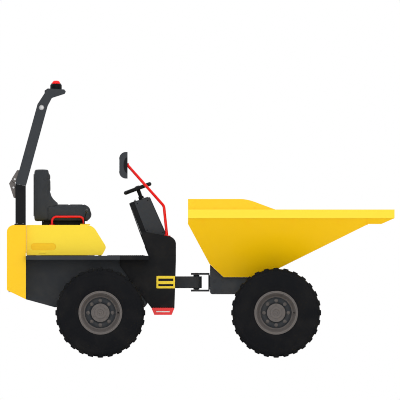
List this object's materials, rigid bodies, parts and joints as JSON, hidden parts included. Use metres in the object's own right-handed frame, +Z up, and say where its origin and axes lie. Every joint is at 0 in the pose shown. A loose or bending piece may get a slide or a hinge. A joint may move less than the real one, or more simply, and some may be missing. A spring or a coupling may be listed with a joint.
{
  "type": "site dumper",
  "caption": "Pivot-steered four-wheel site dumper with forward-tipping skip, tilting engine cover with seat, folding roll-over hoop, mirrors and beacon",
  "frame": {"origin": "centre of the bounding box on the ground under the tyres", "axes": "+X forward towards the skip's spout, +Y to the driver's left, +Z up"},
  "size_m": [3.874, 1.74, 2.771],
  "materials": {
    "body_yellow": "gloss",
    "panel_yellow": "gloss",
    "chassis_grey": "satin",
    "module_black": "satin",
    "access_red": "gloss",
    "wheel_taupe": "satin",
    "bare_steel": "brushed",
    "tyre_rubber": "matte",
    "seat_vinyl": "matte",
    "seat_base_plastic": "matte",
    "mirror_plastic": "matte",
    "lens_red": "gloss",
    "beacon_plastic": "matte",
    "rod_chrome": "polished",
    "rim_plastic": "matte"
  },
  "bodies": {
    "rear_body": {"rear_frame": "chassis_grey", "tail_block": "body_yellow", "tow_pin": "bare_steel", "tail_lamps": "lens_red", "tail_grille": "module_black", "radiator": "module_black", "engine": "chassis_grey", "rear_deck": "chassis_grey", "front_module": "module_black", "cowl": "module_black", "tower": "module_black", "tower_panels": "chassis_grey", "steering_column": "module_black", "mirror_arms": "access_red", "mirror_heads": "mirror_plastic", "side_steps": "access_red", "side_guards": "panel_yellow", "tongue": "chassis_grey", "rear_axle": "chassis_grey", "rops_posts": "module_black", "fold_pins": "bare_steel"},
    "yoke": {"yoke": "chassis_grey", "articulation_pin": "bare_steel"},
    "front_body": {"front_frame": "chassis_grey", "front_axle": "chassis_grey", "skip_pins": "bare_steel"},
    "skip": {"skip_back": "body_yellow", "skip_heel": "body_yellow", "skip_floor": "body_yellow", "skip_slope": "body_yellow", "skip_lip": "body_yellow", "skip_spout": "body_yellow", "skip_sides": "body_yellow", "rim_sides": "panel_yellow", "rim_ends": "panel_yellow", "guard_wings": "body_yellow", "guard_back": "body_yellow", "skip_brackets": "chassis_grey"},
    "cover": {"engine_cover": "panel_yellow", "seat_plinth": "seat_base_plastic", "seat_cushion": "seat_vinyl", "seat_back": "seat_vinyl", "seat_rails": "access_red"},
    "hoop": {"rops_hoop": "chassis_grey", "hoop_rail": "bare_steel", "beacon_base": "beacon_plastic", "beacon_dome": "lens_red"},
    "steering_wheel": {"steering_wheel": "rim_plastic"},
    "steer_barrel": {"steer_barrel": "chassis_grey"},
    "steer_rod": {"steer_rod": "rod_chrome"},
    "tip_barrel": {"tip_barrel": "chassis_grey"},
    "tip_rod": {"tip_rod": "rod_chrome"},
    "rear_left_wheel": {"rear_left_tyre": "tyre_rubber", "rear_left_wheel": "wheel_taupe"},
    "rear_right_wheel": {"rear_right_tyre": "tyre_rubber", "rear_right_wheel": "wheel_taupe"},
    "front_left_wheel": {"front_left_tyre": "tyre_rubber", "front_left_wheel": "wheel_taupe"},
    "front_right_wheel": {"front_right_tyre": "tyre_rubber", "front_right_wheel": "wheel_taupe"}
  },
  "joints": [
    {"name": "articulation", "type": "hinge", "parent": "rear_body", "child": "yoke", "pos_m": [-0.043, 0, 0.755], "axis": [0, 0, 1], "range_deg": [-30, 30]},
    {"name": "oscillation", "type": "hinge", "parent": "yoke", "child": "front_body", "pos_m": [0.09, 0, 0.755], "axis": [1, 0, 0], "range_deg": [-8, 8]},
    {"name": "skip_tip", "type": "hinge", "parent": "front_body", "child": "skip", "pos_m": [0.905, 0, 0.69], "axis": [0, 1, 0], "range_deg": [0, 62]},
    {"name": "tip_swing", "type": "hinge", "parent": "front_body", "child": "tip_barrel", "pos_m": [0.215, 0, 0.7], "axis": [0, 1, 0], "range_deg": [-12, 2]},
    {"name": "tip_extend", "type": "slide", "parent": "tip_barrel", "child": "tip_rod", "axis": [0.985, 0, 0.1726], "range_m": [0, 0.226]},
    {"name": "steer_swing", "type": "hinge", "parent": "rear_body", "child": "steer_barrel", "pos_m": [-0.47, 0.18, 0.755], "axis": [0, 0, 1], "range_deg": [-4, 4]},
    {"name": "steer_extend", "type": "slide", "parent": "steer_barrel", "child": "steer_rod", "axis": [1, 0, 0], "range_m": [-0.092, 0.092]},
    {"name": "cover_open", "type": "hinge", "parent": "rear_body", "child": "cover", "pos_m": [-1.00003, 0, 1.05], "axis": [0, 1, 0], "range_deg": [0, 38]},
    {"name": "hoop_fold", "type": "hinge", "parent": "rear_body", "child": "hoop", "pos_m": [-1.858, 0, 1.785], "axis": [0, -1, 0], "range_deg": [0, 120]},
    {"name": "steering_turn", "type": "hinge", "parent": "rear_body", "child": "steering_wheel", "pos_m": [-0.63, 0, 1.692], "axis": [-0.3502, 0, 0.9367], "continuous": true},
    {"name": "rear_left_spin", "type": "hinge", "parent": "rear_body", "child": "rear_left_wheel", "pos_m": [-1.003, 0.67, 0.45], "axis": [0, 1, 0], "continuous": true},
    {"name": "rear_right_spin", "type": "hinge", "parent": "rear_body", "child": "rear_right_wheel", "pos_m": [-1.003, -0.67, 0.45], "axis": [0, 1, 0], "continuous": true},
    {"name": "front_left_spin", "type": "hinge", "parent": "front_body", "child": "front_left_wheel", "pos_m": [0.754, 0.67, 0.45], "axis": [0, 1, 0], "continuous": true},
    {"name": "front_right_spin", "type": "hinge", "parent": "front_body", "child": "front_right_wheel", "pos_m": [0.754, -0.67, 0.45], "axis": [0, 1, 0], "continuous": true}
  ],
  "couplings": [
    {"joint": "tip_swing", "follows": "skip_tip", "ratio": -0.12434},
    {"joint": "tip_extend", "follows": "skip_tip", "m_per_rad": 0.20212},
    {"joint": "steer_swing", "follows": "articulation", "ratio": -0.02371},
    {"joint": "steer_extend", "follows": "articulation", "m_per_rad": -0.1716}
  ]
}
